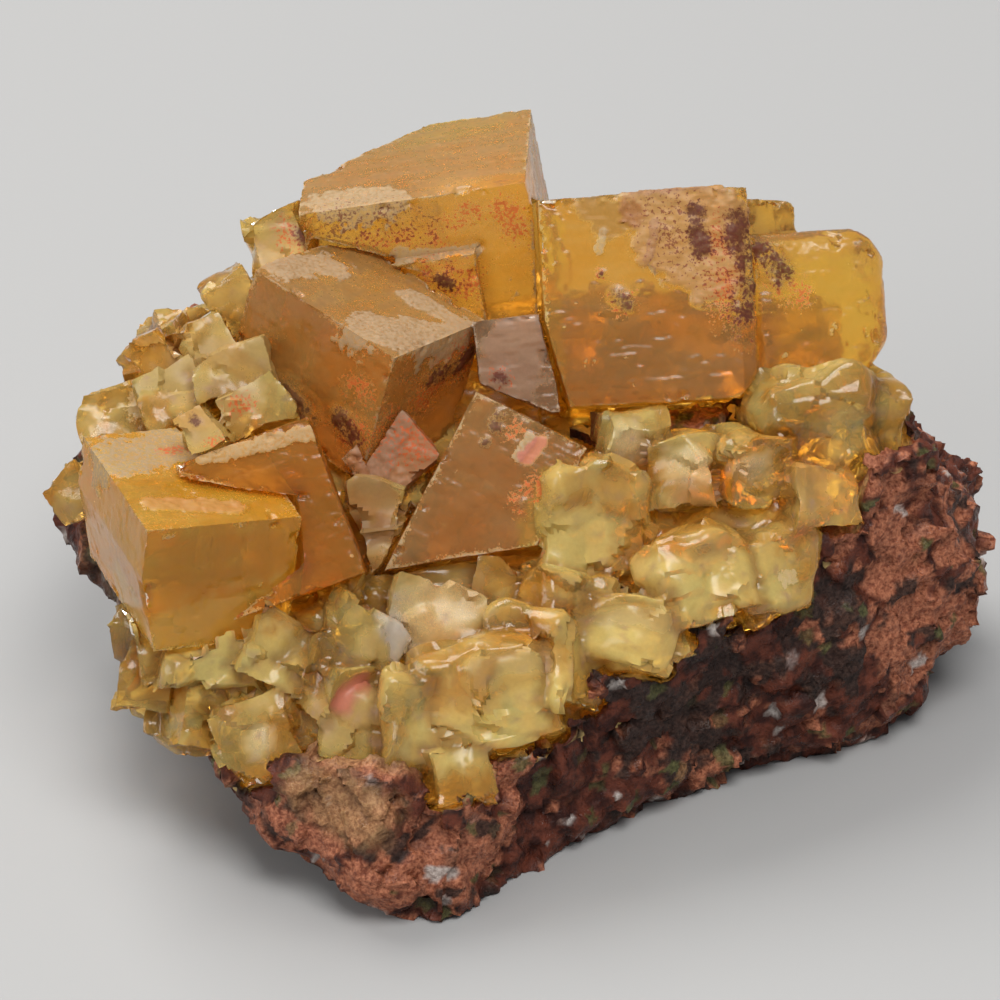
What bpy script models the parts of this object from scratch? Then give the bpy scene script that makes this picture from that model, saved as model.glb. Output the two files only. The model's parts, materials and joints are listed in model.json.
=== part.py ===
"""Fluorite on matrix: cubic amber and yellow fluorite crystals grown over a lump of coarse granite.

Sizes are in millimetres and degrees, and are scaled to metres when the meshes are made.
X runs along the specimen's length, Y from its front to its back and Z up. It stands on Z = 0.
"""

import math
import random

import bmesh
import bpy
from mathutils import Euler, Matrix, Vector, noise

MM = 0.001
NAME = "fluorite_on_matrix"

# Clearance between pieces that grew against each other.
GAP = 0.3


def worn_edges(distance):
    """The breaks that round a lump: the edges of its front and top, this far from its middle."""
    return [(-90, 45, distance), (-90, -45, distance), (-45, 0, distance), (-135, 0, distance),
            (0, 45, distance), (180, 45, distance)]


# The cubes, node by node: middle, sides, turn about X, Y and Z, and broken corners. A broken corner
# is a flat break: the direction it faces in the cube's own axes, as azimuth and elevation, and how
# far it lies from the cube's middle. The cubes of one node grew through each other. Each node grew
# against the ones above it in the list.
CRYSTALS = {
    "crystal_right": [
        ((10.0, 12.0, 26.5), (13.5, 13.0, 13.5), (-33, -3, 2),
         [(45, 45, 10.0), (-60, 0, 8.5), (180, -12, 6.8), (0, -45, 8.6)]),
        ((20.5, 13.0, 25.5), (9.0, 9.0, 9.5), (-33, 3, 12),
         [(-45, 0, 5.6), (0, -45, 5.1), (0, 45, 5.3), (-90, 50, 6.0)]),
        ((17.0, 16.5, 28.5), (4.0, 6.0, 5.0), (-31, 11, 17), [(0, 45, 2.8)]),
    ],
    "crystal_centre": [
        ((-9.0, 8.0, 24.7), (9.5, 12.0, 9.5), (10, 10, 52), [(50, 0, 5.9)]),
    ],
    "crystal_back": [
        ((-4.0, 18.5, 27.0), (15.0, 12.0, 12.0), (-6, -10, -1), [(130, 0, 4.3)]),
        ((-3.5, 14.0, 26.5), (6.0, 5.0, 6.0), (-6, -10, -1), []),
    ],
    "crystal_left": [
        ((-19.5, -5.0, 19.3), (10.4, 12.3, 9.0), (-1, 8, 22), [(180, -14, 4.8)]),
    ],
    "crystal_amber": [
        ((-14.0, -4.0, 20.0), (9.0, 8.0, 10.5), (-35, -17, 11), []),
    ],
    "crystal_wedge": [
        ((-0.5, -1.0, 18.5), (8.0, 7.0, 13.4), (-36, 22, -16), [(0, -54, 2.6)]),
    ],
    "crystal_rhomb": [
        ((-6.5, 2.0, 20.8), (5.0, 4.0, 4.0), (-41, -33, 25), []),
    ],
    "crystal_violet": [
        ((1.5, 7.0, 24.5), (5.0, 5.0, 6.5), (-33, -6, 4), [(180, -61, 1.9)]),
    ],
    "crust": [
        # The bed of fluorite that the small crystals rise from: its back, front and left slopes.
        ((1.0, 8.5, 17.0), (43.0, 23.0, 6.0), (6, 0, 4), [(-64, 5, 17.9), (60, 0, 20.0)]),
        ((6.0, -5.0, 13.0), (32.0, 18.0, 4.0), (36, -4, 12), [(-67, 32, 4.3)]),
        ((-15.5, -5.5, 12.0), (15.0, 9.0, 9.0), (20, 0, -20), []),
        ((-16.0, 15.0, 18.8), (15.0, 11.0, 8.0), (-12, -15, 0), []),
        ((-8.0, -1.5, 17.0), (3.5, 5.0, 7.0), (-33, 4, -3), []),
        # Crystals along the left side and behind it.
        ((1.0, 12.0, 25.0), (3.6, 6.0, 6.5), (-43, 7, -4), []),
        ((-15.0, 3.0, 24.0), (4.2, 7.0, 3.8), (-37, -25, 17), []),
        ((-18.0, -2.0, 24.5), (2.6, 5.0, 3.0), (-62, -25, 17), []),
        ((-20.0, 4.0, 22.5), (4.0, 5.0, 6.0), (-56, -23, 16), []),
        ((-16.5, 6.0, 24.0), (5.5, 8.0, 2.5), (-46, -21, 14), []),
        ((-21.0, 10.5, 23.0), (3.4, 8.0, 4.0), (-30, -37, 6), []),
        ((-19.0, 10.0, 24.0), (3.2, 8.0, 3.5), (-37, -11, 20), []),
        ((-16.5, 13.5, 25.5), (3.0, 8.0, 4.0), (-38, -29, 21), []),
        ((-13.8, 18.5, 27.0), (3.8, 10.0, 4.0), (-35, -17, 11), []),
        ((-24.0, 7.5, 17.5), (4.6, 8.0, 8.0), (-33, -4, 3), []),
        ((-26.0, 5.5, 16.5), (3.2, 9.0, 3.2), (-27, -35, -2), []),
        # The lumps and crystals of the front slope, from its right end to its left.
        ((20.5, 4.2, 22.4), (8.4, 7.5, 6.6), (-24, -6, 18), worn_edges(4.4)),
        ((23.2, 4.6, 21.6), (5.4, 6.0, 6.4), (-15, 12, 15), worn_edges(3.8)),
        ((20.4, -0.2, 19.6), (5.8, 5.0, 4.6), (-15, 8, 25), [(-60, 40, 3.1)]),
        ((16.2, 0.3, 21.2), (4.2, 5.0, 4.4), (-20, 15, 20), []),
        ((12.6, 0.2, 21.0), (4.6, 5.0, 4.6), (-25, -10, -12), [(-45, 30, 2.8)]),
        ((8.9, 1.8, 21.6), (4.8, 5.0, 5.0), (-30, 8, 15), [(-90, 45, 2.9)]),
        ((5.9, -2.0, 19.4), (7.6, 6.0, 7.0), (-25, 12, 8), worn_edges(4.2)),
        ((12.5, -4.6, 16.4), (7.4, 6.5, 5.8), (-30, -8, 12), worn_edges(3.9)),
        ((17.4, -2.8, 15.8), (5.6, 5.5, 5.2), (-25, 12, 25), worn_edges(3.4)),
        ((8.1, -7.2, 13.8), (6.8, 6.0, 5.2), (-35, 5, -5), worn_edges(3.7)),
        ((4.2, -6.6, 15.0), (5.4, 6.0, 5.6), (-30, 15, 20), worn_edges(3.6)),
        ((0.8, -4.4, 14.6), (4.6, 5.0, 4.4), (-30, 12, -20), []),
        ((-0.6, -11.0, 11.6), (9.0, 8.0, 7.6), (-30, -8, 8), worn_edges(4.9)),
        ((-4.3, -12.6, 11.0), (6.0, 6.0, 6.6), (-30, 15, 15), worn_edges(3.8)),
        ((2.9, -9.8, 13.0), (6.4, 6.5, 6.4), (-35, -15, -20), worn_edges(4.0)),
        ((-4.0, -6.5, 14.0), (5.2, 5.0, 4.4), (-32, 18, 0), []),
        ((-2.5, -15.5, 8.5), (4.0, 4.0, 3.6), (-30, 10, 25), []),
        ((-9.2, -9.6, 13.6), (5.2, 5.0, 6.4), (-33, 40, 0), []),
        ((-8.6, -12.6, 10.0), (5.0, 5.0, 4.6), (-30, 20, 5), [(-90, 45, 3.0)]),
        ((-10.4, -6.2, 15.0), (3.4, 4.0, 3.4), (-30, -20, 20), []),
        ((-13.9, -9.8, 14.0), (4.6, 5.0, 4.6), (-33, 32, 0), []),
        ((-18.2, -8.8, 14.0), (6.4, 6.0, 6.0), (-30, 10, 10), worn_edges(4.0)),
        ((-21.0, -8.0, 13.8), (4.2, 5.0, 4.6), (-24, -15, 20), []),
        ((-14.6, -12.6, 9.2), (4.8, 4.5, 5.2), (-33, -25, 10), []),
        ((-18.2, -10.0, 9.4), (4.6, 5.0, 4.6), (-28, 22, 15), [(-45, 35, 2.9)]),
        ((-21.4, -8.0, 10.8), (3.8, 5.0, 4.6), (-33, 8, -15), []),
    ],
}

# Fields of small crystals on the crust: middle, width and length of the field, its turn, how many
# across and along, the cubes' mean side and the seed of their scatter.
FIELDS = [
    ((10.5, -2.8, 15.6), (15.0, 11.0), (34, -4, 22), (4, 3), 3.6, 3),
    ((-15.2, -10.2, 11.8), (13.0, 8.0), (66, -8, -22), (4, 3), 3.0, 7),
    ((8.0, 19.5, 19.0), (26.0, 6.0), (-40, 2, -4), (6, 2), 4.4, 13),
    ((-16.0, 19.0, 20.0), (14.0, 5.0), (-45, -12, 8), (3, 2), 4.0, 17),
]
FIELD_TURN = 28      # how far each small cube may turn from its field, each way
FIELD_SHIFT = 0.25   # how far it may shift, as a share of the spacing

# The granite: the blocks that the lump is made of, as middle, sides, turn and broken corners.
ROCK = [
    ((1.0, 1.0, 10.0), (63.0, 43.0, 24.0), (0, 0, 0), [
        (-60, 0, 13.8), (-60, -40, 16.0), (-127, 0, 21.8), (-153, 0, 24.0), (-171, -46, 17.0), (180, 0, 28.0),
        (140, 0, 30.0), (150, -40, 24.0), (55, 0, 31.0), (-10, 24, 28.0), (-10, -40, 26.0),
        (90, -35, 21.0), (-100, 64, 7.5), (90, 84, 11.0), (180, 55, 20.0), (-152, -59, 15.7),
        (30, 50, 23.0),
    ]),
    ((-4.0, -14.0, 4.2), (15.0, 10.0, 10.0), (-6, 8, -12), [(-140, -58, 4.6), (-32, 0, 5.4)]),
    ((24.0, 3.5, 18.0), (7.0, 8.0, 9.0), (5, 10, 35), []),
    ((4.5, 21.0, 25.5), (5.0, 4.0, 8.5), (0, 10, 20), []),
]
ROCK_GRID = 1.25        # size of the facets that the rough surface is built from
LUMP_SPACING = 3.6      # the granite's grains stand out as lumps this far apart
LUMP_HEIGHT = 1.6
SWELL_SPACING = 11.0    # and its faces swell and sink over this distance
SWELL_HEIGHT = 1.6
ROCK_FACES = 5600

PART_COLORS = {
    "matrix": ((0.30, 0.13, 0.09, 1), 0.75),
    "crust": ((0.72, 0.47, 0.07, 1), 0.35),
    "crystal_right": ((0.66, 0.36, 0.08, 1), 0.35),
    "crystal_centre": ((0.52, 0.26, 0.08, 1), 0.35),
    "crystal_back": ((0.66, 0.36, 0.10, 1), 0.35),
    "crystal_left": ((0.68, 0.33, 0.04, 1), 0.2),
    "crystal_amber": ((0.55, 0.25, 0.04, 1), 0.25),
    "crystal_wedge": ((0.45, 0.27, 0.13, 1), 0.4),
    "crystal_rhomb": ((0.50, 0.27, 0.17, 1), 0.4),
    "crystal_violet": ((0.32, 0.21, 0.17, 1), 0.4),
}


def direction(azimuth, elevation):
    a, e = math.radians(azimuth), math.radians(elevation)
    return Vector((math.cos(e) * math.cos(a), math.cos(e) * math.sin(a), math.sin(e)))


def turn(angles):
    return Euler([math.radians(a) for a in angles], "XYZ").to_matrix()


def block(name, row, collection, grow=0.0):
    """One cube with its broken corners, every face moved outwards by grow."""
    middle, sides, angles, breaks = row
    bm = bmesh.new()
    bmesh.ops.create_cube(bm, size=1)
    bmesh.ops.scale(bm, vec=[side + 2 * grow for side in sides], verts=bm.verts)
    for azimuth, elevation, distance in breaks:
        facing = direction(azimuth, elevation)
        bmesh.ops.bisect_plane(
            bm, geom=bm.verts[:] + bm.edges[:] + bm.faces[:], dist=1e-5,
            plane_co=facing * (distance + grow), plane_no=facing, clear_outer=True)
        bmesh.ops.holes_fill(bm, edges=[e for e in bm.edges if e.is_boundary], sides=0)
    place = Matrix.Translation(Vector(middle)) @ turn(angles).to_4x4()
    bmesh.ops.transform(bm, matrix=Matrix.Scale(MM, 4) @ place, verts=bm.verts)
    return add_mesh(name, bm, collection)


def add_mesh(name, bm, collection):
    bmesh.ops.recalc_face_normals(bm, faces=bm.faces)
    mesh = bpy.data.meshes.new(name)
    bm.to_mesh(mesh)
    bm.free()
    obj = bpy.data.objects.new(name, mesh)
    collection.objects.link(obj)
    return obj


def new_collection(name, helper=True):
    collection = bpy.data.collections.new(name)
    bpy.context.scene.collection.children.link(collection)
    collection.hide_render = helper
    return collection


def blocks(name, rows, grow=0.0):
    """A collection of helper blocks, for one Boolean."""
    collection = new_collection(name)
    for i, row in enumerate(rows):
        block(f"{name}_{i}", row, collection, grow).display_type = "WIRE"
    return collection


def boolean(obj, collection, operation):
    modifier = obj.modifiers.new(operation.lower(), "BOOLEAN")
    modifier.solver = "EXACT"
    modifier.operation = operation
    modifier.operand_type = "COLLECTION"
    modifier.collection = collection


def settle(obj):
    """Makes what the modifiers give the object's own mesh, and leaves out crumbs cut loose from it."""
    graph = bpy.context.evaluated_depsgraph_get()
    mesh = bpy.data.meshes.new_from_object(obj.evaluated_get(graph))
    obj.modifiers.clear()
    obj.data = mesh
    mesh.name = obj.name
    bm = bmesh.new()
    bm.from_mesh(mesh)
    islands = islands_of(bm)
    for island in sorted(islands, key=len)[:-1]:
        bmesh.ops.delete(bm, geom=island, context="VERTS")
    bm.to_mesh(mesh)
    bm.free()


def islands_of(bm):
    left, found = set(bm.verts), []
    while left:
        island, edge = [], [left.pop()]
        while edge:
            vert = edge.pop()
            island.append(vert)
            for other in (e.other_vert(vert) for e in vert.link_edges):
                if other in left:
                    left.remove(other)
                    edge.append(other)
        found.append(island)
    return found


def field_rows(field):
    """The small cubes of one field, as rows like those of the crystals."""
    middle, (width, length), angles, (across, along), side, seed = field
    chance = random.Random(seed)
    place = Matrix.Translation(Vector(middle)) @ turn(angles).to_4x4()
    rows = []
    for i in range(across):
        for j in range(along):
            u = (i + 0.5) / across - 0.5 + chance.uniform(-1, 1) * FIELD_SHIFT / across
            v = (j + 0.5) / along - 0.5 + chance.uniform(-1, 1) * FIELD_SHIFT / along
            at = place @ Vector((u * width, v * length, chance.uniform(-0.5, 0.5)))
            turns = [a + chance.uniform(-FIELD_TURN, FIELD_TURN) for a in angles]
            sides = [side * chance.uniform(0.8, 1.25) for _ in range(3)]
            corner = (chance.uniform(-180, 180), chance.uniform(20, 50), side * 0.62)
            rows.append((tuple(at), tuple(sides), tuple(turns), [corner]))
    return rows


def lump_height(point):
    """How far the granite's surface stands out at a point, in millimetres."""
    near = noise.voronoi(point / LUMP_SPACING)[0][0]
    swell = noise.noise(point / SWELL_SPACING)
    return LUMP_HEIGHT * (0.5 - near) + SWELL_HEIGHT * swell


def granite(collection, room):
    """The rough lump under the crystals, worn flat where it stands."""
    rock = block("matrix", ROCK[0], collection)
    boolean(rock, blocks("rock_blocks", ROCK[1:]), "UNION")
    remesh = rock.modifiers.new("grains", "REMESH")
    remesh.mode = "VOXEL"
    remesh.voxel_size = ROCK_GRID * MM
    settle(rock)
    bm = bmesh.new()
    bm.from_mesh(rock.data)
    bm.normal_update()
    moves = [v.normal * lump_height(v.co / MM) * MM for v in bm.verts]
    for vert, move in zip(bm.verts, moves):
        vert.co += move
    bm.to_mesh(rock.data)
    bm.free()
    decimate = rock.modifiers.new("facets", "DECIMATE")
    decimate.ratio = ROCK_FACES / (2 * len(rock.data.polygons))
    boolean(rock, room, "DIFFERENCE")
    below = ((0.0, 0.0, -20.0), (90.0, 90.0, 40.0), (0, 0, 0), [])
    boolean(rock, blocks("ground", [below]), "DIFFERENCE")
    settle(rock)
    return rock


def paint(obj):
    color, roughness = PART_COLORS[obj.name]
    material = bpy.data.materials.new(obj.name)
    material.use_nodes = True
    shader = material.node_tree.nodes["Principled BSDF"]
    shader.inputs["Base Color"].default_value = color
    shader.inputs["Roughness"].default_value = roughness
    material.diffuse_color = color
    obj.data.materials.clear()
    obj.data.materials.append(material)


def centre(pieces):
    """Moves the pieces so that the middle of the specimen's plan is over the origin."""
    points = [vert.co for piece in pieces for vert in piece.data.vertices]
    spans = [(min(axis), max(axis)) for axis in zip(*points)]
    middle = Vector([(low + high) / 2 for low, high in spans[:2]] + [0.0])
    for piece in pieces:
        piece.data.transform(Matrix.Translation(-middle))


def main():
    for obj in list(bpy.data.objects):
        bpy.data.objects.remove(obj)
    specimen = new_collection(NAME, helper=False)
    scattered = [row for field in FIELDS for row in field_rows(field)]
    taken = []
    for name, rows in CRYSTALS.items():
        rows = rows + (scattered if name == "crust" else [])
        crystal = block(name, rows[0], specimen)
        if len(rows) > 1:
            boolean(crystal, blocks(f"{name}_joined", rows[1:]), "UNION")
        if taken:
            boolean(crystal, blocks(f"{name}_neighbours", taken, GAP), "DIFFERENCE")
        settle(crystal)
        paint(crystal)
        taken = taken + rows
    paint(granite(specimen, blocks("room", taken, GAP)))
    centre(specimen.objects)


main()
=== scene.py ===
"""Looks of the fluorite on matrix: frosted amber and yellow fluorite crystals over pink and maroon granite.

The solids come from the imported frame. Each one is copied, given a fine surface and stood for by its copy.
Lengths are millimetres in the frame's axes, and are scaled to metres where meshes are made.
"""

import json
import math
from collections import namedtuple

import bmesh
import bpy
import numpy as np
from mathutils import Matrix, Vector, noise
from mathutils.bvhtree import BVHTree

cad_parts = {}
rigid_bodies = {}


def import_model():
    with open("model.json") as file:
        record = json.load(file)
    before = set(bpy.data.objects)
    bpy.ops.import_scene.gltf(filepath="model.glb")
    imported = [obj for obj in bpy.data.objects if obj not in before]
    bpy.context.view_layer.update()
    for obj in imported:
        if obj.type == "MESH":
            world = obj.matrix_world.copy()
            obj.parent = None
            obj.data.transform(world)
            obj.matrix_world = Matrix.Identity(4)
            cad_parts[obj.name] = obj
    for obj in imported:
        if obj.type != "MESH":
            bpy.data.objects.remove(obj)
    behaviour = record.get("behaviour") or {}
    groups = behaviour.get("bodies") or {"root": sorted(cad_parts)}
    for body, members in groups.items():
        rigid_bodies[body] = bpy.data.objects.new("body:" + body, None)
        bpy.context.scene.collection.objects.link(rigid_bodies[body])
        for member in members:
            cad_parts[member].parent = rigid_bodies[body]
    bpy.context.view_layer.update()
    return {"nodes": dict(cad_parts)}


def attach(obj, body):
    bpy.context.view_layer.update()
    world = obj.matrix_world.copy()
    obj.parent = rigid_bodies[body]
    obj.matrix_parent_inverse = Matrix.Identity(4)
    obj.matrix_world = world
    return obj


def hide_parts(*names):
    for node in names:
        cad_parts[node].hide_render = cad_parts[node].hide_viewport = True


MM = 0.001

# The camera looks along +Y and down at the specimen from this far.
CAMERA_TARGET = (-1.3, 2.2, 16.0)
CAMERA_ELEVATION = 33
CAMERA_DISTANCE = 400
CAMERA_LENS = 221.8

# Fineness of each piece's surface.
CRUST_CELL = 0.33
CRYSTAL_CELL = 0.16
ROCK_VOXEL = 0.30

BEND_SEED = 2           # of the noise that bends the crust's blocks; 0 would take the time of day
OUTWARD_EDGE = 32       # degrees from which an edge of a solid wears and frosts
# Creases between blocks get painted shade.
INWARD_EDGE = 25        # degrees from which a crease between two blocks darkens
CREASE_REACH = 1.1
FLUORITE_IOR = 1.434
EVEN_STEPS = 2          # how often the rough pieces' surfaces are smoothed, all over
CRYSTAL_WORN_STEPS = 90     # and where a crystal or the crust is worn round
CRUST_WORN_STEPS = 6
RIGHT_END = (22.0, 28.0, -0.5)   # from here to here along X, the granite comes to sink in by this much
UNDER_CRUST = (0.6, 0.15)        # the granite nearer the crust than this shows its bed, and over how far that fades
MOST_BOUNCES = 6

# What lies on each piece: kind, the points that it runs through, and how far it reaches from them. On the fluorite,
# frost is a thin pale crust, and blush a reddish one. Rust, specks and dark are stains that break up into grains, and
# tan, violet, pale, rose and ice tint the body. A clear place on a crystal has no satin skin, and a worn place is
# rounded. Two kinds are painted light: the glowing kind is a lighter colour painted where light comes through, and
# the dusky kind is a darker amber painted as the shade in a recess. On the granite, pink, olive, tan and soot say what
# gathers there.
MARKS = {
    "crystal_back": [
        ("frost", [(-12.0, 12.5, 33.0), (-9.5, 11.8, 33.2)], 2.0),
        ("frost", [(-12.5, 10.9, 32.2), (-8.0, 10.8, 33.0)], 0.7),
        ("glow", [(-6.0, 22.0, 33.0), (-3.0, 22.5, 33.0)], 2.6),
        ("specks", [(-12.0, 10.9, 31.4), (-6.5, 10.8, 31.6)], 1.7),
        ("rust", [(-10.0, 10.9, 30.4), (-5.0, 10.8, 31.0)], 0.9),
        ("rust", [(-4.5, 10.7, 31.8), (-3.2, 10.7, 32.6)], 0.9),
        ("rust", [(-1.0, 10.7, 32.8), (-0.2, 10.7, 31.6)], 1.2),
        ("rust", [(-5.5, 9.5, 28.6), (-3.6, 9.5, 28.2)], 1.5),
        ("dark", [(-5.2, 9.5, 28.4), (-4.6, 9.5, 28.0)], 0.5),
        ("specks", [(-5.0, 9.5, 28.4)], 1.5),
        ("clear", [(-2.0, 10.9, 34.0), (0.5, 10.9, 34.0)], 1.6),
        ("frost", [(-8.0, 10.4, 29.6), (-3.0, 10.4, 29.8)], 0.5),
    ],
    "crystal_centre": [
        ("frost", [(-15.5, 7.0, 30.8), (-12.5, 8.5, 29.8)], 1.6),
        ("frost", [(-9.5, 1.5, 29.3), (-5.5, 1.8, 28.4), (-3.5, 3.8, 27.8)], 1.9),
        ("frost", [(-7.0, 6.8, 28.7), (-4.5, 5.0, 28.0)], 0.9),
        ("rust", [(-10.5, -0.5, 26.0)], 1.3),
        ("rust", [(-11.0, -0.5, 23.0), (-8.5, -0.5, 23.5)], 1.4),
        ("dark", [(-11.5, 0.0, 23.5), (-10.0, -0.5, 22.5)], 0.9),
        ("dark", [(-15.0, 2.5, 23.5), (-14.0, 2.0, 22.8)], 1.3),
        ("rust", [(-6.0, 2.2, 24.5), (-3.5, 4.5, 25.5)], 1.9),
        ("dark", [(-6.0, 2.2, 25.5), (-4.0, 4.2, 25.0), (-3.0, 5.0, 25.5)], 0.75),
    ],
    "crystal_right": [
        ("dusk", [(4.5, 7.5, 34.9), (7.0, 7.2, 34.5), (5.4, 6.9, 33.9)], 0.9),
        ("blush", [(8.6, 7.2, 34.6), (12.5, 7.0, 34.2), (12.3, 5.5, 31.5), (9.5, 6.4, 33.2)], 2.2),
        ("specks", [(9.5, 7.0, 34.0), (12.5, 6.0, 32.0)], 2.4),
        ("dark", [(13.8, 6.9, 34.0), (14.5, 6.0, 31.0), (14.2, 4.5, 29.0)], 1.05),
        ("dark", [(11.2, 7.2, 34.6), (11.6, 6.2, 32.6)], 0.75),
        ("specks", [(14.2, 6.6, 33.4), (14.4, 4.2, 28.2)], 1.6),
        ("dark", [(15.4, 8.0, 31.6), (16.8, 7.6, 29.8)], 0.9),
        ("rust", [(15.3, 8.0, 31.2), (17.6, 7.2, 28.6)], 1.1),
        ("rust", [(18.2, 7.1, 28.4)], 0.8),
        ("rust", [(12.8, 6.6, 33.0), (14.3, 4.6, 29.0)], 2.0),
        ("dark", [(6.2, 4.4, 30.1), (6.8, 4.2, 29.7)], 0.55),
        ("rust", [(6.4, 4.3, 29.9)], 1.0),
        ("dark", [(5.2, 5.1, 31.3)], 0.25),
        ("rust", [(5.2, 5.1, 31.3)], 0.45),
        ("frost", [(5.3, 6.6, 33.6), (5.0, 6.0, 32.6)], 0.35),
        ("frost", [(8.6, 6.9, 34.2), (8.2, 5.8, 31.8), (9.0, 5.0, 30.6)], 0.3),
        ("clear", [(3.0, 1.5, 25.5), (7.7, 1.5, 25.6), (14.1, 2.5, 27.2)], 3.4),
        ("glow", [(1.8, 6.8, 33.8), (1.8, 4.3, 29.9), (2.0, 1.5, 25.8)], 0.9),
        ("clear", [(20.0, 6.6, 27.0), (19.0, 5.0, 25.0), (21.5, 8.5, 29.5)], 4.5),
        ("glow", [(20.0, 6.6, 28.0), (20.0, 5.0, 25.0)], 3.5),
        ("worn", [(21.0, 9.0, 28.0), (20.0, 7.0, 24.0)], 5.5),
    ],
    "crystal_left": [
        ("frost", [(-25.5, -6.0, 24.4), (-22.5, -3.5, 24.0), (-19.5, -2.5, 23.5)], 2.2),
        ("rust", [(-22.5, -4.2, 23.9), (-21.5, -3.8, 23.8)], 0.7),
        ("blush", [(-23.0, -11.0, 24.2), (-18.0, -10.5, 23.6)], 0.8),
        ("clear", [(-25.8, -9.1, 21.0), (-21.0, -13.2, 20.0), (-17.0, -12.0, 20.0)], 4.0),
        ("glow", [(-25.0, -10.0, 17.0), (-22.0, -13.7, 16.5), (-15.5, -11.0, 17.0)], 2.0),
    ],
    "crystal_amber": [
        ("frost", [(-20.0, -7.3, 25.4), (-15.0, -6.8, 26.4), (-12.5, -6.5, 26.8)], 0.5),
        ("clear", [(-13.8, -6.5, 26.0), (-11.3, -11.0, 20.1)], 4.0),
    ],
    "crystal_wedge": [
        ("dark", [(-1.6, -3.1, 25.1), (-1.2, -2.9, 25.6)], 0.5),
        ("dark", [(-2.2, -3.7, 24.2)], 0.35),
        ("rust", [(-0.5, -3.2, 25.0)], 0.9),
        ("rose", [(1.2, -3.8, 24.2), (0.4, -4.2, 23.4)], 0.5),
        ("frost", [(0.6, -3.6, 24.4), (-0.2, -4.2, 23.4)], 0.35),
        ("rust", [(0.1, -5.8, 21.0), (1.0, -5.4, 21.8)], 0.9),
        ("dark", [(0.1, -5.8, 21.0)], 0.35),
        ("glow", [(2.5, -5.0, 22.0), (1.0, -7.0, 19.0)], 1.3),
    ],
    "crystal_rhomb": [
        ("rust", [(-7.7, -1.4, 22.6), (-6.5, -1.2, 22.8)], 1.6),
        ("frost", [(-9.0, -2.3, 21.2), (-7.5, -0.5, 24.0)], 0.8),
        ("blush", [(-8.0, -2.0, 22.0)], 3.0),
    ],
    "crystal_violet": [
        ("violet", [(0.0, 3.6, 27.3), (-1.0, 2.3, 25.1)], 2.2),
        ("rust", [(-1.3, 2.3, 25.1)], 0.9),
        ("dark", [(-1.3, 2.3, 25.1)], 0.6),
    ],
    "crust": [
        ("rust", [(-14.9, 12.3, 30.0)], 1.2),
        ("dark", [(-14.2, 12.3, 30.0)], 0.8),
        ("tan", [(-15.5, 12.0, 29.0)], 2.5),
        ("tan", [(-20.5, -5.0, 26.9), (-18.5, -2.0, 26.5)], 2.0),
        ("tan", [(-22.0, 3.0, 25.0), (-17.0, 3.0, 27.0)], 3.0),
        ("dark", [(-20.5, -5.0, 26.9)], 0.45),
        ("rust", [(-19.2, -6.5, 26.0), (-18.5, -6.5, 25.5)], 0.9),
        ("rust", [(-17.8, -1.9, 26.2)], 1.0),
        ("dark", [(-15.6, 1.5, 24.5), (-14.8, 1.8, 23.5)], 1.0),
        ("violet", [(-10.2, -4.8, 21.0), (-10.0, -5.0, 18.0)], 2.6),
        ("rose", [(-10.1, -15.2, 13.2), (-11.0, -16.2, 13.0)], 0.8),
        ("pale", [(-4.4, -10.0, 16.4), (-6.0, -11.0, 16.0)], 2.2),
        ("ice", [(-7.8, -11.5, 17.0), (-7.3, -12.5, 15.0)], 1.0),
        ("pale", [(6.7, -2.4, 23.6)], 1.5),
        ("pale", [(9.8, -4.4, 22.6), (11.4, -4.2, 22.6)], 1.3),
        ("pale", [(14.3, -4.3, 22.8)], 1.3),
        ("violet", [(10.4, -5.1, 20.8), (13.4, -3.9, 19.6)], 1.1),
        ("tan", [(18.4, -4.9, 21.4)], 2.2),
        ("glow", [(2.5, -8.4, 18.6), (4.6, -7.3, 19.5)], 1.8),
        ("glow", [(8.5, -9.8, 17.5), (12.5, -9.8, 17.5), (15.2, -7.9, 17.0)], 2.2),
        ("frost", [(16.4, -7.6, 16.5), (17.2, -7.2, 16.4)], 0.4),
        ("tan", [(5.3, -12.0, 16.2), (8.2, -11.6, 16.2)], 0.9),
        ("glow", [(4.8, -12.4, 14.2), (8.5, -12.0, 14.2)], 2.2),
        ("glow", [(-5.0, -18.0, 11.2), (0.0, -17.0, 12.0), (2.0, -15.3, 13.5)], 1.9),
        ("tan", [(-2.5, -15.6, 14.4), (0.5, -14.8, 15.4)], 1.2),
        ("tan", [(-11.9, -17.0, 12.1), (-9.5, -15.5, 12.0)], 1.8),
        ("tan", [(-9.1, -13.1, 15.4)], 1.4),
        ("glow", [(-20.0, -13.0, 14.5), (-16.0, -13.8, 14.0)], 2.8),
        ("pale", [(-16.4, -16.7, 10.3)], 1.0),
        ("dark", [(3.0, 1.5, 22.0), (5.5, 2.0, 22.5)], 1.6),
        ("rust", [(3.0, 1.0, 22.0), (5.5, 1.5, 22.0)], 2.2),
        ("frost", [(-24.0, 4.0, 22.0)], 1.4),
        ("worn", [(-5.0, -15.0, 12.0), (2.0, -13.0, 12.5)], 5.0),
        ("worn", [(4.0, -5.0, 19.0), (12.0, -5.0, 19.0), (19.0, 1.0, 22.0)], 6.0),
    ],
    "matrix": [
        ("tan", [(-11.3, -17.1, 10.5), (-9.0, -17.5, 10.0)], 2.4),
        ("tan", [(-12.5, -20.0, 8.3), (-9.5, -21.0, 7.5)], 2.0),
        ("pink", [(-12.0, -18.0, 7.0), (-7.0, -21.0, 6.0), (-1.0, -21.0, 6.5)], 5.0),
        ("pink", [(24.0, -2.0, 14.0), (30.0, 4.0, 12.0), (28.0, 0.0, 8.0)], 6.0),
        ("soot", [(6.0, -12.0, 8.0), (14.0, -8.0, 9.0), (19.0, -6.0, 10.0)], 5.0),
        ("olive", [(-27.0, -4.0, 15.0), (-26.0, -8.0, 10.0)], 4.0),
    ],
}
MARK_CORE = 1.5         # a mark fades out at this many times its reach, and is full within one reach less
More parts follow.
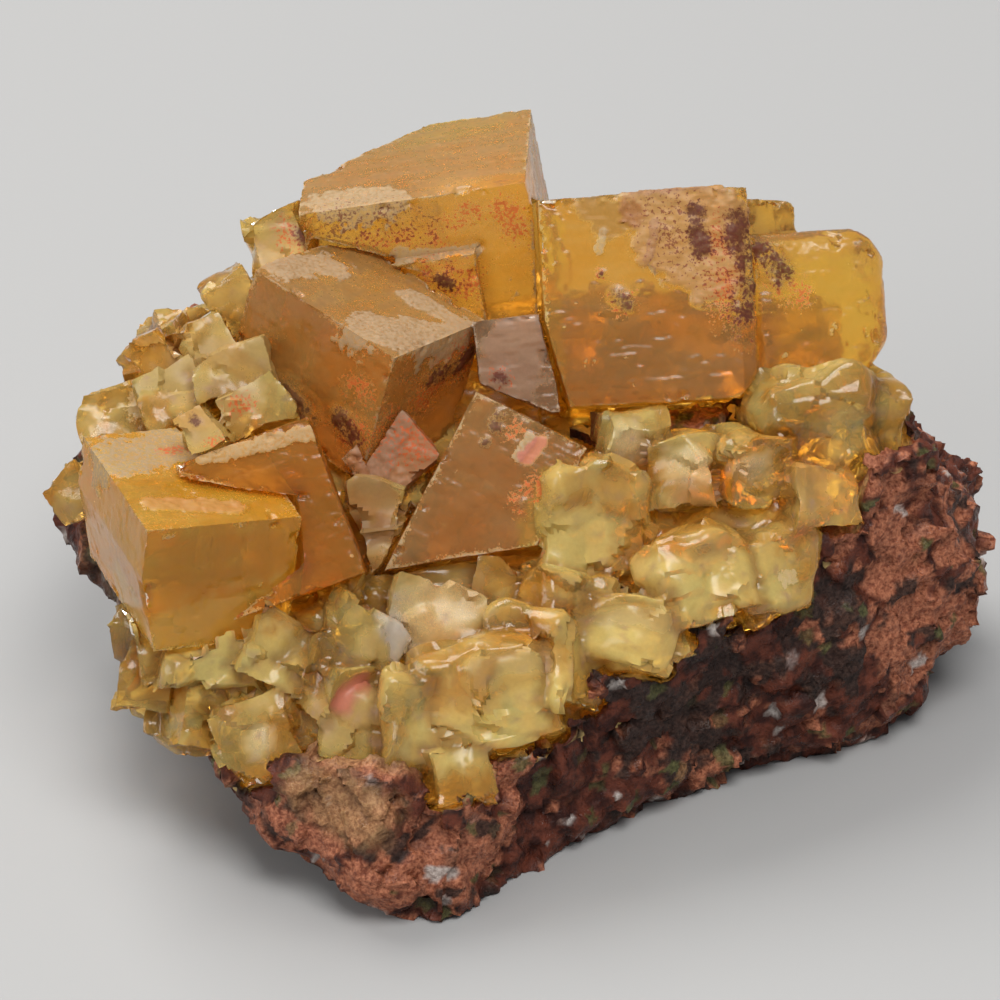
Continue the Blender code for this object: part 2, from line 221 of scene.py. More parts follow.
KINDS = ("frost", "rust", "dark", "specks", "blush", "clear", "dusk", "glow", "worn", "tan", "violet", "pale", "rose",
         "ice", "pink", "olive", "soot")
ROCK_KINDS = ("pink", "olive", "soot")


class Nodes:
    """Adds nodes to a material or a geometry tree, with texture sizes in millimetres."""

    def __init__(self, tree, place, attribute_kind):
        self.tree, self.attribute_kind = tree, attribute_kind
        self.at = self.vector("MULTIPLY", [place, (1 / MM,) * 3])

    def add(self, kind, inputs=(), **settings):
        made = self.tree.nodes.new(kind)
        for name, value in settings.items():
            setattr(made, name, value)
        pairs = inputs.items() if isinstance(inputs, dict) else enumerate(inputs)
        for key, value in pairs:
            if isinstance(value, bpy.types.NodeSocket):
                self.tree.links.new(value, made.inputs[key])
            else:
                made.inputs[key].default_value = value
        return made

    def math(self, operation, a, b=0.0):
        return self.add("ShaderNodeMath", [a, b], operation=operation).outputs[0]

    def sum(self, *parts):
        total = parts[0]
        for part in parts[1:]:
            total = self.math("ADD", total, part)
        return total

    def times(self, *parts):
        total = parts[0]
        for part in parts[1:]:
            total = self.math("MULTIPLY", total, part)
        return total

    def vector(self, operation, inputs, output=0):
        return self.add("ShaderNodeVectorMath", inputs, operation=operation).outputs[output]

    def noise(self, size, detail=3.0, roughness=0.55, at=None):
        inputs = {"Vector": at or self.at, "Scale": 1 / size, "Detail": detail, "Roughness": roughness}
        return self.add("ShaderNodeTexNoise", inputs).outputs[0]

    def ragged_at(self, size, reach):
        """The place, shifted about by noise, so that what is made from it has ragged borders."""
        shift = self.add("ShaderNodeTexNoise", {"Vector": self.at, "Scale": 1 / size, "Detail": 2.0}).outputs["Color"]
        centred = self.vector("SUBTRACT", [shift, (0.5,) * 3])
        return self.vector("ADD", [self.at, self.vector("MULTIPLY", [centred, (reach,) * 3])])

    def range(self, value, low, high, to_low=0.0, to_high=1.0):
        inputs = {"Value": value, "From Min": low, "From Max": high, "To Min": to_low, "To Max": to_high}
        return self.add("ShaderNodeMapRange", inputs, interpolation_type="SMOOTHSTEP").outputs[0]

    def turned(self, turn):
        """The place along the axes of a crystal that is turned by these degrees."""
        made = self.add("ShaderNodeVectorRotate", [self.at], rotation_type="EULER_XYZ", invert=True)
        made.inputs["Rotation"].default_value = [math.radians(a) for a in turn]
        return made.outputs[0]

    def ragged(self, name, noise, spread, soft=0.1):
        """Where that mark lies, with a border made ragged by the noise."""
        value = self.sum(self.attribute(name), self.times(self.math("SUBTRACT", noise, 0.5), spread * 2))
        return self.range(value, 0.5 - soft, 0.5 + soft)

    def split(self, vector):
        return self.add("ShaderNodeSeparateXYZ", [vector]).outputs

    def attribute(self, name):
        if self.attribute_kind == "material":
            return self.add("ShaderNodeAttribute", attribute_name=name).outputs["Fac"]
        made = self.add("GeometryNodeInputNamedAttribute", data_type="FLOAT")
        made.inputs["Name"].default_value = name
        return made.outputs["Attribute"]

    def mix(self, factor, a, b):
        made = self.add("ShaderNodeMix", data_type="RGBA")
        for socket, value in (("Factor_Float", factor), ("A_Color", a), ("B_Color", b)):
            target = next(s for s in made.inputs if s.identifier == socket)
            if isinstance(value, bpy.types.NodeSocket):
                self.tree.links.new(value, target)
            else:
                target.default_value = value if isinstance(value, float) else (*value, 1.0)
        return next(s for s in made.outputs if s.identifier == "Result_Color")


def new_material(name):
    """A material, the tool that adds its nodes, and its shader."""
    material = bpy.data.materials.new(name)
    material.use_nodes = True
    tree = material.node_tree
    shader = tree.nodes["Principled BSDF"]
    place = tree.nodes.new("ShaderNodeTexCoord").outputs["Object"]
    return material, Nodes(tree, place, "material"), shader


def link(n, value, socket):
    n.tree.links.new(value, socket)


def bump(n, height, depth, shader):
    """Roughens how the surface catches the light, by the height times the depth in millimetres."""
    made = n.add("ShaderNodeBump", {"Height": height, "Distance": depth * MM, "Strength": 1.0})
    link(n, made.outputs[0], shader.inputs["Normal"])


# Each stain's colour, and how much of the crystal's own it covers. A later one lies on an earlier one.
STAINS = {
    "tan": ((0.33, 0.20, 0.08), 0.7),
    "violet": ((0.20, 0.10, 0.075), 0.6),
    "pale": ((0.62, 0.52, 0.35), 0.5),
    "ice": ((0.52, 0.50, 0.56), 0.6),
    "blush": ((0.36, 0.145, 0.065), 0.7),
    "rose": ((0.60, 0.17, 0.12), 0.8),
    "rust": ((0.60, 0.12, 0.025), 0.92),
    "specks": ((0.19, 0.050, 0.024), 0.85),
    "dark": ((0.10, 0.026, 0.016), 0.9),
}
# Painted shade: the darker amber of a recess on a crystal's top.
RECESS_SHADE_TINT = (0.40, 0.20, 0.03)
# Painted shade: the darker brown of the creases between blocks.
CREASE_SHADE_TINT = (0.30, 0.12, 0.03)
# How each speckled stain breaks up: how much the grain counts, and from where to where it fades in.
SPECKLED = {"rust": (2.4, 0.34, 0.74), "specks": (2.8, 0.40, 0.68), "dark": (1.5, 0.25, 0.80)}


def fluorite(node, look):
    """Fluorite: clear colour inside, frosted skin, with crusts and stains at its marks, a lighter colour painted where
    light comes through, and painted shade in creases and recesses.
    """
    material, n, shader = new_material(node + "_fluorite")
    marked = {kind for kind, through, radius in MARKS[node]}
    grain = n.noise(0.24, 2.0, 0.7)
    centred = n.math("SUBTRACT", grain, 0.5)
    colour = n.mix(n.attribute("tone"), look.deep, look.body)
    # Painted light: a lighter colour where the light comes through the crystal.
    if "glow" in marked:
        colour = n.mix(n.times(n.attribute("glow"), 0.8), colour, look.glow)

    def broken(kind, spread, low, high):
        """Where that stain lies, broken up by the grain."""
        mark = n.attribute(kind)
        return n.times(n.range(n.sum(mark, n.times(centred, spread)), low, high), n.range(mark, 0.0, 0.15))

    # On a crystal the satin skin lies thicker on faces turned up: partly the real satin film, partly a painted sheen of
    # the light from above.
    satin = n.attribute("satin")
    colour = n.mix(n.times(satin, 0.9), colour, look.satin)
    # Painted shade: darker amber in a recess on the top.
    if "dusk" in marked:
        colour = n.mix(n.times(n.attribute("dusk"), 0.9), colour, RECESS_SHADE_TINT)
    # Painted shade: darker in the creases between blocks.
    colour = n.mix(n.times(n.attribute("hollow"), 0.85), colour, CREASE_SHADE_TINT)
    frost = n.times(broken("frost", 1.1, 0.25, 0.80), n.range(grain, 0.3, 0.6, 0.5, 0.88))
    shade = n.range(grain, 0.25, 0.75, 0.95, 1.04)
    colour = n.mix(frost, colour, look.frost)
    solid = n.math("MAXIMUM", frost, n.times(satin, 0.45))
    # Where that light is painted in, the body is also made more solid.
    if look.glow_body:
        solid = n.math("MAXIMUM", solid, n.times(n.attribute("glow"), look.glow_body))
    # There the painted shade also makes the body more solid.
    if "dusk" in marked:
        solid = n.math("MAXIMUM", solid, n.times(n.attribute("dusk"), 0.6))
    for kind in [kind for kind in STAINS if kind in marked]:
        tint, cover = STAINS[kind]
        where = n.times(broken(kind, *SPECKLED[kind]) if kind in SPECKLED else n.attribute(kind), cover)
        colour = n.mix(where, colour, tint)
        solid = n.math("MAXIMUM", solid, where)
    link(n, n.vector("SCALE", {0: colour, "Scale": shade}), shader.inputs["Base Color"])
    clear = n.math("SUBTRACT", 1.0, n.times(solid, 0.9))
    link(n, n.times(clear, look.clarity), shader.inputs["Transmission Weight"])
    rough = n.range(grain, 0.3, 0.7, look.rough * 0.85, look.rough * 1.2)
    link(n, n.sum(rough, n.times(solid, 0.35)), shader.inputs["Roughness"])
    shader.inputs["IOR"].default_value = FLUORITE_IOR
    shader.inputs["Specular IOR Level"].default_value = look.specular
    volume = n.add("ShaderNodeVolumeAbsorption", {"Color": (*look.absorb, 1.0), "Density": look.density})
    link(n, volume.outputs[0], n.tree.nodes["Material Output"].inputs["Volume"])
    return material


def facets(n, size, at, tilt, lift):
    """Cells that are each one flat break, tilted and lifted at random: how far they stand out, and three random
    numbers for each."""
    cell = n.add("ShaderNodeTexVoronoi", {"Vector": at, "Scale": 1 / size, "Randomness": 1.0}, feature="F1")
    away = n.vector("SUBTRACT", [at, cell.outputs["Position"]])
    lean = n.vector("SUBTRACT", [cell.outputs["Color"], (0.5,) * 3])
    slope = n.vector("DOT_PRODUCT", [away, lean], "Value")
    random = n.split(cell.outputs["Color"])
    height = n.sum(n.times(slope, tilt), n.times(n.math("SUBTRACT", random[2], 0.5), lift))
    return height, random


def granite_dress(n):
    """The granite: how far its surface stands out, in millimetres, and what its material reads."""
    coarse, random = facets(n, 2.4, n.ragged_at(1.2, 0.5), 0.55, 0.5)
    fine, small = facets(n, 0.95, n.ragged_at(0.5, 0.15), 0.45, 0.15)
    rough = n.times(n.math("SUBTRACT", n.noise(0.7, 3.0, 0.65), 0.5), 0.3)
    swell = n.times(n.math("SUBTRACT", n.noise(5.0, 2.0, 0.5), 0.5), 1.2)
    pick = n.sum(n.times(random[0], 0.6), n.times(small[0], 0.4))
    rosy = n.math("MAXIMUM", n.ragged("pink", n.noise(3.0), 0.6, 0.4), n.range(n.noise(8.0, 2.0), 0.52, 0.66, 0.0, 0.6))
    start, end, sink = RIGHT_END
    sunk = n.times(n.range(n.split(n.at)["X"], start, end), sink)
    sooty = n.times(n.ragged("soot", n.noise(3.0), 0.6, 0.4), 0.3)
    return n.sum(coarse, fine, rough, swell, sunk), {
        "pink": n.range(n.sum(pick, n.times(rosy, 0.45)), 0.76, 0.84),
        "grey": n.range(n.sum(n.times(random[1], 0.5), n.times(small[1], 0.35), sooty), 0.64, 0.72),
        "white": n.range(small[1], 0.028, 0.014),
        "green": n.range(small[2], 0.07, 0.05),
        "olive": n.ragged("olive", n.noise(2.5), 0.6, 0.4),
        "tan": n.ragged("tan", n.noise(2.0), 0.6, 0.4),
        # The low places of the relief, where painted shade darkens the pits.
        "hollow": n.range(n.sum(fine, rough, n.times(coarse, 0.6)), -0.05, -0.75),
        "wet": n.range(n.noise(1.0, 3.0, 0.6), 0.50, 0.64),
    }


# The granite's minerals over its maroon ground: how much each covers, and its dark and light colours.
MAROON = ((0.034, 0.008, 0.005), (0.14, 0.036, 0.019))
MINERALS = {
    "pink": (0.85, (0.17, 0.042, 0.020), (0.56, 0.21, 0.11)),
    "grey": (0.9, (0.009, 0.005, 0.004), (0.055, 0.032, 0.025)),
    "green": (0.8, (0.05, 0.05, 0.015), (0.14, 0.14, 0.05)),
    "white": (0.85, (0.30, 0.25, 0.22), (0.62, 0.56, 0.52)),
    "olive": (0.75, (0.035, 0.025, 0.012), (0.12, 0.09, 0.045)),
    "tan": (0.8, (0.22, 0.10, 0.04), (0.45, 0.25, 0.11)),
}
# Painted shade in the granite's pits.
PIT_SHADE_TINT = (0.016, 0.005, 0.005)
BED_TINT = (0.86, 0.62, 0.24)


def granite(name):
    """Granite: mottled minerals, with painted shade in its pits, pale where the crust grows from it, and wet in places.
    """
    material, n, shader = new_material(name)
    fine, mottle = n.noise(0.3, 3.0, 0.65), n.noise(1.1, 3.0, 0.6)
    mixed = n.range(fine, 0.3, 0.7)
    colour = n.mix(n.range(mottle, 0.35, 0.65), *MAROON)
    for kind, (cover, low, high) in MINERALS.items():
        colour = n.mix(n.times(n.attribute(kind), cover), colour, n.mix(mixed, low, high))
    # Painted shade: darker in the pits.
    colour = n.mix(n.times(n.attribute("hollow"), 0.8), colour, PIT_SHADE_TINT)
    colour = n.mix(n.attribute("bed"), colour, BED_TINT)
    link(n, colour, shader.inputs["Base Color"])
    wet = n.sum(n.attribute("wet"), n.times(fine, 0.5))
    link(n, n.range(wet, 0.1, 1.1, 0.5, 0.06), shader.inputs["Roughness"])
    shader.inputs["Specular IOR Level"].default_value = 0.22
    bump(n, n.sum(n.times(fine, 0.7), mottle), 0.2, shader)
    return material


def crust_dress(n):
    """The broken fluorite of the crust: how far it stands out, in millimetres, and what its material reads."""
    coarse, random = facets(n, 3.0, n.ragged_at(2.5, 0.7), 0.32, 0.2)
    rough = n.times(n.math("SUBTRACT", n.noise(2.4, 3.0, 0.45), 0.5), 0.35)
    ragged = n.noise(1.0, 4.0, 0.65)
    edge = n.times(n.attribute("edge"), n.range(n.noise(1.2, 3.0, 0.6), 0.46, 0.66))
    flecks = n.range(n.noise(1.6, 4.0, 0.7), 0.68, 0.80, 0.0, 0.3)
    made = {kind: n.ragged(kind, ragged, 0.8, 0.45) for kind in KINDS if kind not in ROCK_KINDS}
    for kind, strength in (("rust", 0.55), ("specks", 0.42), ("dark", 0.85)):
        made[kind] = n.times(n.attribute(kind), strength)
    made["frost"] = n.math("MAXIMUM", made["frost"], n.math("MAXIMUM", n.times(edge, 0.3), flecks))
    crease = n.range(n.sum(n.attribute("crease"), n.times(n.math("SUBTRACT", n.noise(2.0, 3.0), 0.5), 0.9)), 0.25, 0.95)
    # Painted shade: darker in the creases between blocks.
    made["hollow"] = n.times(crease, 0.7)
    made["tone"] = n.range(n.sum(n.times(random[0], 0.4), n.times(n.noise(3.5, 3.0), 0.9)), 0.35, 0.9)
    made["satin"] = n.range(n.noise(3.5, 3.0, 0.6), 0.42, 0.66, 0.0, 0.45)
    return n.sum(coarse, rough, n.times(crease, -0.15)), made


def crystal_dress(turn, film):
    """A crystal's faces: how far they stand out, in millimetres, and what its material reads. Growth steps and the
    borders of crusts run along the crystal's own axes, at this turn. The film is how satin its skin is."""
    def dress(n):
        own = n.turned(turn)
        stepped = n.vector("SNAP", [own, (0.42,) * 3])
        blocky, ragged = n.noise(1.6, 3.0, 0.6, at=stepped), n.noise(0.9, 4.0, 0.65)
        border = n.sum(n.times(blocky, 0.5), n.times(ragged, 0.5))
        made = {kind: n.ragged(kind, ragged, 1.0, 0.2) for kind in KINDS if kind not in ROCK_KINDS}
        made["frost"] = n.ragged("frost", border, 1.7, 0.18)
        made["blush"] = n.ragged("blush", border, 1.0, 0.06)
        # Painted shade: darker in the creases between blocks.
        made["hollow"] = n.times(n.attribute("crease"), 0.7)
        patchy = n.range(n.noise(1.3, 3.0, 0.6), 0.35, 0.6, 0.5, 1.0)
        for kind, strength in (("rust", 0.62), ("specks", 0.45), ("dark", 1.0)):
            made[kind] = n.times(n.attribute(kind), patchy, strength)
        streak = n.noise(1.2, 3.0, 0.6, at=n.vector("MULTIPLY", [own, (0.2, 1.6, 1.6)]))
        made["tone"] = n.range(n.sum(n.times(n.noise(5.0, 3.0, 0.6), 0.6), n.times(streak, 0.4)), 0.36, 0.64)
        # Faces turned up get more satin skin: a painted sheen of the light from above on the tops.
        painted_top_sheen = n.range(n.split(n.add("GeometryNodeInputNormal").outputs[0])["Z"], 0.72, 0.92)
        bare = n.math("SUBTRACT", 1.0, n.times(made["clear"], 0.95))
        skin = n.math("MAXIMUM", n.times(painted_top_sheen, 0.75), n.range(n.noise(6.0, 3.0, 0.6), 0.45, 0.65, 0.0, 0.35))
        patches, streaks = n.range(border, 0.42, 0.50, 0.65, 1.0), n.range(streak, 0.3, 0.7, 0.75, 1.15)
        made["satin"] = n.times(skin, film, patches, streaks, bare)
        edge = n.times(n.attribute("edge"), n.attribute("edge"), n.range(ragged, 0.38, 0.58, 0.15, 1.0), 0.9)
        flecks = n.range(n.noise(0.8, 4.0, 0.7), 0.66, 0.76, 0.0, 0.5)
        skin = n.times(n.math("MAXIMUM", edge, flecks), bare)
        made["frost"] = n.math("MAXIMUM", made["frost"], skin)
        steps = n.noise(4.5, 2.0, 0.5, at=stepped)
        terrace = n.times(n.math("FLOOR", n.times(steps, 9.0)), 0.035)
        raised = n.times(n.ragged("frost", border, 1.7, 0.10), 0.07)
        stained = n.math("MAXIMUM", n.times(made["dark"], 1.2), made["blush"])
        crust = n.times(stained, n.range(ragged, 0.3, 0.7, 0.05, 0.22))
        worn = n.times(n.attribute("edge"), n.attribute("edge"), n.range(ragged, 0.3, 0.7, -0.02, -0.12))
        chip = n.times(n.range(n.attribute("edge"), 0.1, 0.6), n.range(n.noise(1.7, 2.0, 0.5), 0.60, 0.66), -0.25)
        fine = n.times(n.math("SUBTRACT", n.noise(0.7, 3.0, 0.6), 0.5), 0.05)
        return n.sum(terrace, -0.16, raised, crust, worn, chip, fine), made
    return dress


def bend(piece, size, reach, start, only=None):
    """Shifts the piece's points about by noise, so that its straight blocks grow as irregular as real lumps. The noise
    is read from this start along X on, and counts only where that mark lies, if one is given."""
    points = points_of(piece.data)
    strength = np.ones(len(points), np.float32)
    if only:
        piece.data.attributes[only].data.foreach_get("value", strength)
    shifts = [noise.noise_vector(Vector(p) / size + Vector((start, 0, 0))) for p in points]
    moved = points + np.array(shifts, np.float32) * (reach * strength)[:, None]
    piece.data.vertices.foreach_set("co", (moved * MM).ravel())
    piece.data.update()


def dress_piece(piece, dress):
    """Moves each point of the piece along its normal by the height that the nodes give, and keeps their masks."""
    tree = bpy.data.node_groups.new(piece.name + "_dress", "GeometryNodeTree")
    for side in ("INPUT", "OUTPUT"):
        tree.interface.new_socket("Geometry", in_out=side, socket_type="NodeSocketGeometry")
    n = Nodes(tree, tree.nodes.new("GeometryNodeInputPosition").outputs[0], "geometry")
    height, masks = dress(n)
    shape = tree.nodes.new("NodeGroupInput").outputs[0]
    for name, value in {**masks, "relief": height}.items():
        kept = n.add("GeometryNodeStoreNamedAttribute", {"Geometry": shape, "Name": "now_" + name, "Value": value},
                     data_type="FLOAT", domain="POINT")
        shape = kept.outputs[0]
    normal = n.add("GeometryNodeInputNormal").outputs[0]
    lift = n.times(n.attribute("now_relief"), MM)
    offset = n.vector("SCALE", {0: normal, "Scale": lift})
    moved = n.add("GeometryNodeSetPosition", {"Geometry": shape, "Offset": offset})
    tree.links.new(moved.outputs[0], tree.nodes.new("NodeGroupOutput").inputs[0])
    piece.modifiers.new("dress", "NODES").node_group = tree
    settle(piece)
    bpy.data.node_groups.remove(tree)
    attributes = piece.data.attributes
    for name in [a.name for a in attributes]:
        if "now_" + name in attributes:
            attributes.remove(attributes[name])
    for name in [a.name for a in attributes if a.name.startswith("now_")]:
        attributes[name].name = name[4:]


def settle(piece):
    """Turns the piece's modifiers into its mesh."""
    made = bpy.data.meshes.new_from_object(piece.evaluated_get(bpy.context.evaluated_depsgraph_get()))
    old, piece.data = piece.data, made
    piece.modifiers.clear()
    bpy.data.meshes.remove(old)


def points_of(mesh):
    """The mesh's points in millimetres."""
    co = np.empty(len(mesh.vertices) * 3, np.float32)
    mesh.vertices.foreach_get("co", co)
    return co.reshape(-1, 3) / MM


def near_segments(points, segments):
    """Each point's distance to the nearest of the segments."""
    best = np.full(len(points), 1e9, np.float32)
    for a, b in segments:
        a, b = np.array(a, np.float32), np.array(b, np.float32)
        along = b - a
        t = np.clip((points - a) @ along / max(float(along @ along), 1e-9), 0, 1)
        best = np.minimum(best, np.linalg.norm(points - a - t[:, None] * along, axis=1))
    return best


def sharp_edges(source, way, degrees):
    """The solid's edges that are sharper than this, as pairs of points: outward where way is 1, inward where -1."""
    found = []
    for edge in source.edges:
        if len(edge.link_faces) == 2 and way * edge.calc_face_angle_signed(0.0) > math.radians(degrees):
            found.append([tuple(v.co / MM) for v in edge.verts])
    return found


def dense_copy(node, voxel=None, cell=None, reach=0.9):
    """A copy of the node with a fine, even surface, and the attributes that its material reads."""
    source = bmesh.new()
    source.from_mesh(frame["nodes"][node].data)
    bmesh.ops.remove_doubles(source, verts=source.verts, dist=0.002 * MM)
    bmesh.ops.recalc_face_normals(source, faces=source.faces)
    edges, creases = sharp_edges(source, 1, OUTWARD_EDGE), sharp_edges(source, -1, INWARD_EDGE)
    mesh = bpy.data.meshes.new(node + "_skin")
    source.to_mesh(mesh)
    source.free()
    piece = bpy.data.objects.new(node + "_skin", mesh)
    bpy.context.scene.collection.objects.link(piece)
    remesh = piece.modifiers.new("remesh", "REMESH")
    if voxel:
        remesh.mode, remesh.voxel_size = "VOXEL", voxel * MM
    else:
        longest = max(piece.dimensions) / MM
        depth = math.ceil(math.log2(longest / cell / 0.98))
        remesh.mode, remesh.octree_depth, remesh.use_remove_disconnected = "SHARP", depth, False
        remesh.scale = longest / cell / 2**depth
    settle(piece)
    points = points_of(piece.data)
    paint(piece, "edge", np.clip(1 - near_segments(points, edges) / reach, 0, 1))
    paint(piece, "crease", np.clip(1 - near_segments(points, creases) / CREASE_REACH, 0, 1))
    for kind in KINDS:
        value = np.zeros(len(points), np.float32)
        for name, through, radius in MARKS.get(node, ()):
            if name == kind:
                ends = through[1:] or through
                away = near_segments(points, zip(through, ends))
                value = np.maximum(value, np.clip(MARK_CORE - away / radius, 0, 1))
        paint(piece, kind, value)
    return piece


def paint(piece, name, values):
    piece.data.attributes.new(name, "FLOAT", "POINT").data.foreach_set("value", values.astype(np.float32))


def finish_piece(piece, node, material, smooth=50):
    """Gives the piece its material, keeps its edges sharper than this many degrees, and lets it stand for the node."""
    mesh = piece.data
    mesh.materials.clear()
    mesh.materials.append(material)
    for polygon in mesh.polygons:
        polygon.use_smooth = True
    mesh.set_sharp_from_angle(angle=math.radians(smooth))
    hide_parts(node)
    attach(piece, "root")


def smooth_over(piece, steps, only=None):
    """Evens out the piece's surface, or only where that mark lies."""
    modifier = piece.modifiers.new("smooth", "SMOOTH")
    modifier.iterations, modifier.factor = steps, 0.5
    if only:
        weights = np.empty(len(piece.data.vertices), np.float32)
        piece.data.attributes[only].data.foreach_get("value", weights)
        group = piece.vertex_groups.new(name=only)
        for level in range(1, 11):
            chosen = np.nonzero(np.round(weights * 10) == level)[0].tolist()
            group.add(chosen, level / 10, "REPLACE")
        modifier.vertex_group = only
    settle(piece)


# How a piece of fluorite looks: its light and deep body colours, the colours of its satin skin and its frost, what it
# absorbs and how densely, how clear and how rough it is, how strongly it reflects, the lighter colour painted where the
# light comes through, and how much more solid that painted light makes the body.
Look = namedtuple("Look", "body deep satin frost absorb density clarity rough specular glow glow_body",
                  defaults=(0.2, 0.3, (1.0, 0.74, 0.14), 0.0))

# Each crystal's slot, its turn in degrees, how satin its skin is, and its look.
CRYSTALS = {
    "crystal_right": ("amber_fluorite", (-33, -3, 2), 0.35, Look(
        body=(0.92, 0.67, 0.22), deep=(0.93, 0.56, 0.11), satin=(0.56, 0.32, 0.12),
        frost=(0.44, 0.31, 0.17), absorb=(0.99, 0.8, 0.16), density=170, clarity=0.87)),
    "crystal_centre": ("brown_fluorite", (10, 10, 52), 0.9, Look(
        body=(1.0, 0.6, 0.16), deep=(0.97, 0.48, 0.09), satin=(0.24, 0.125, 0.06),
        frost=(0.4, 0.28, 0.17), absorb=(0.99, 0.72, 0.15), density=105, clarity=0.78)),
    "crystal_back": ("amber_fluorite", (-6, -10, -1), 0.9, Look(
        body=(1.0, 0.68, 0.18), deep=(0.98, 0.55, 0.09), satin=(0.43, 0.235, 0.105),
        frost=(0.44, 0.32, 0.19), absorb=(0.99, 0.78, 0.14), density=160, clarity=0.86)),
    "crystal_left": ("amber_fluorite", (-1, 8, 22), 0.4, Look(
        body=(1.0, 0.62, 0.07), deep=(1.0, 0.49, 0.03), satin=(0.66, 0.32, 0.06),
        frost=(0.3, 0.23, 0.155), absorb=(1.0, 0.72, 0.04), density=90, clarity=0.74)),
    "crystal_amber": ("amber_fluorite", (-35, -17, 11), 0.1, Look(
        body=(1.0, 0.54, 0.08), deep=(0.97, 0.42, 0.035), satin=(0.66, 0.31, 0.07),
        frost=(0.46, 0.32, 0.17), absorb=(0.99, 0.7, 0.07), density=115, clarity=0.84)),
    "crystal_wedge": ("brown_fluorite", (-36, 22, -16), 0.35, Look(
        body=(0.94, 0.58, 0.2), deep=(0.82, 0.42, 0.1), satin=(0.44, 0.25, 0.11),
        frost=(0.46, 0.35, 0.22), absorb=(0.98, 0.74, 0.26), density=110, clarity=0.83)),
    "crystal_rhomb": ("brown_fluorite", (-41, -33, 25), 0.5, Look(
        body=(0.86, 0.48, 0.2), deep=(0.76, 0.36, 0.13), satin=(0.46, 0.26, 0.14),
        frost=(0.46, 0.34, 0.23), absorb=(0.95, 0.68, 0.34), density=115, clarity=0.8)),
    "crystal_violet": ("brown_fluorite", (-33, -6, 4), 0.6, Look(
        body=(0.76, 0.5, 0.28), deep=(0.56, 0.34, 0.17), satin=(0.34, 0.21, 0.13),
        frost=(0.44, 0.35, 0.26), absorb=(0.94, 0.74, 0.48), density=85, clarity=0.78)),
}
CRUST_LOOK = Look(
    body=(1.0, 0.80, 0.25), deep=(0.95, 0.48, 0.07), satin=(0.95, 0.63, 0.19), frost=(0.58, 0.42, 0.22),
    absorb=(1.0, 0.84, 0.22), density=90, clarity=0.78, rough=0.10, specular=0.36, glow=(1.0, 0.85, 0.29),
    glow_body=0.3)


def build_crystals():
    for node, (slot, turn, film, look) in CRYSTALS.items():
        piece = dense_copy(node, cell=CRYSTAL_CELL)
        if any(name == "worn" for name, through, radius in MARKS[node]):
            smooth_over(piece, CRYSTAL_WORN_STEPS, "worn")
        dress_piece(piece, crystal_dress(turn, film))
        finish_piece(piece, node, fluorite(node, look))
        print(node, len(piece.data.polygons), "faces")


def build_crust():
    piece = dense_copy("crust", cell=CRUST_CELL, reach=0.8)
    bend(piece, size=4.5, reach=0.8, start=3)
    bend(piece, size=3.0, reach=0.9, start=8, only="worn")
    smooth_over(piece, EVEN_STEPS)
    smooth_over(piece, CRUST_WORN_STEPS, "worn")
    dress_piece(piece, crust_dress)
    finish_piece(piece, "crust", fluorite("crust", CRUST_LOOK), smooth=40)
    print("crust", len(piece.data.polygons), "faces")


def under_the_crust(points):
    """How much each of the granite's points lies right under the crust, from 0 to 1."""
    cover = frame["nodes"]["crust"].data
    tree = BVHTree.FromPolygons([v.co for v in cover.vertices], [tuple(p.vertices) for p in cover.polygons])
    away = np.array([tree.find_nearest(Vector(p) * MM)[3] / MM for p in points], np.float32)
    reach, fade = UNDER_CRUST
    return np.clip((reach - away) / fade, 0, 1)


def build_matrix():
    piece = dense_copy("matrix", voxel=ROCK_VOXEL)
    edge = np.empty(len(piece.data.vertices), np.float32)
    piece.data.attributes["edge"].data.foreach_get("value", edge)
    paint(piece, "bed", under_the_crust(points_of(piece.data)) * np.clip(1 - 2 * edge, 0, 1))
    smooth_over(piece, EVEN_STEPS)
    dress_piece(piece, granite_dress)
    points = points_of(piece.data)
    points[:, 2] = np.maximum(points[:, 2], 0.0)
    piece.data.vertices.foreach_set("co", (points * MM).ravel())
    finish_piece(piece, "matrix", granite("maroon_granite"), smooth=80)
    print("matrix", len(piece.data.polygons), "faces")


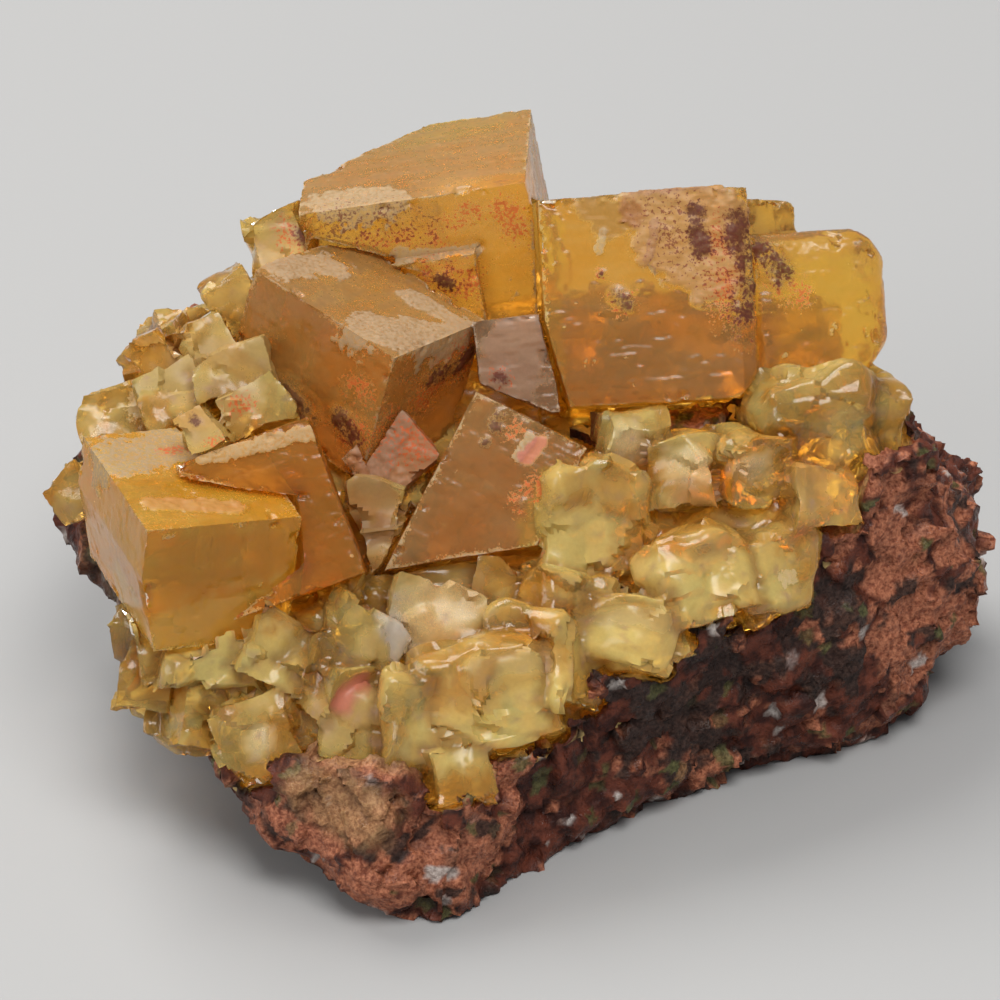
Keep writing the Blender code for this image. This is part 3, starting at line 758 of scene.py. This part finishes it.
# The soft lights: place and size in metres, power in watts, and tint.
LIGHTS = {
    "key": ((-0.25, 0.32, 0.60), 0.45, 4.2, (1.0, 0.98, 0.95)),
    "fill": ((0.10, -0.28, 0.65), 0.35, 3.6, (1.0, 0.99, 0.97)),
    "side": ((-0.50, -0.33, 0.34), 0.3, 1.2, (1.0, 0.99, 0.97)),
}
LIT_POINT = (0, 0, 0.015)
WORLD_COLOR, WORLD_STRENGTH = (0.95, 0.97, 1.0, 1), 0.30
FLOOR_SIDE, FLOOR_COLOR, FLOOR_ROUGHNESS = 6, (0.38, 0.38, 0.38, 1), 0.7


def area_light(name, place, size, power, tint):
    data = bpy.data.lights.new(name, "AREA")
    data.size, data.energy, data.color = size, power, tint
    light = bpy.data.objects.new(name, data)
    light.location = place
    light.rotation_euler = (Vector(LIT_POINT) - Vector(place)).to_track_quat("-Z", "Y").to_euler()
    bpy.context.scene.collection.objects.link(light)


def build_surroundings():
    bpy.ops.mesh.primitive_plane_add(size=FLOOR_SIDE)
    floor = bpy.context.active_object
    floor.name = "floor"
    material, n, shader = new_material("pale_floor")
    shader.inputs["Base Color"].default_value = FLOOR_COLOR
    shader.inputs["Roughness"].default_value = FLOOR_ROUGHNESS
    floor.data.materials.append(material)
    world = bpy.context.scene.world or bpy.data.worlds.new("world")
    bpy.context.scene.world = world
    world.use_nodes = True
    background = world.node_tree.nodes["Background"]
    background.inputs["Color"].default_value = WORLD_COLOR
    background.inputs["Strength"].default_value = WORLD_STRENGTH
    for name, light in LIGHTS.items():
        area_light(name, *light)


def build_camera():
    data = bpy.data.cameras.new("camera")
    data.lens, data.sensor_width = CAMERA_LENS, 36
    data.clip_start, data.clip_end = 0.01, 20
    camera = bpy.data.objects.new("camera", data)
    pitch = math.radians(CAMERA_ELEVATION)
    back = Vector((0, -math.cos(pitch), math.sin(pitch)))
    camera.location = (Vector(CAMERA_TARGET) + back * CAMERA_DISTANCE) * MM
    camera.rotation_euler = (math.pi / 2 - pitch, 0, 0)
    bpy.context.scene.collection.objects.link(camera)
    bpy.context.scene.camera = camera


for obj in list(bpy.data.objects):
    bpy.data.objects.remove(obj)
noise.seed_set(BEND_SEED)
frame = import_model()
build_crystals()
build_crust()
build_matrix()
build_surroundings()
build_camera()
bpy.context.scene.view_settings.view_transform = "Standard"
bpy.context.scene.cycles.max_bounces = MOST_BOUNCES
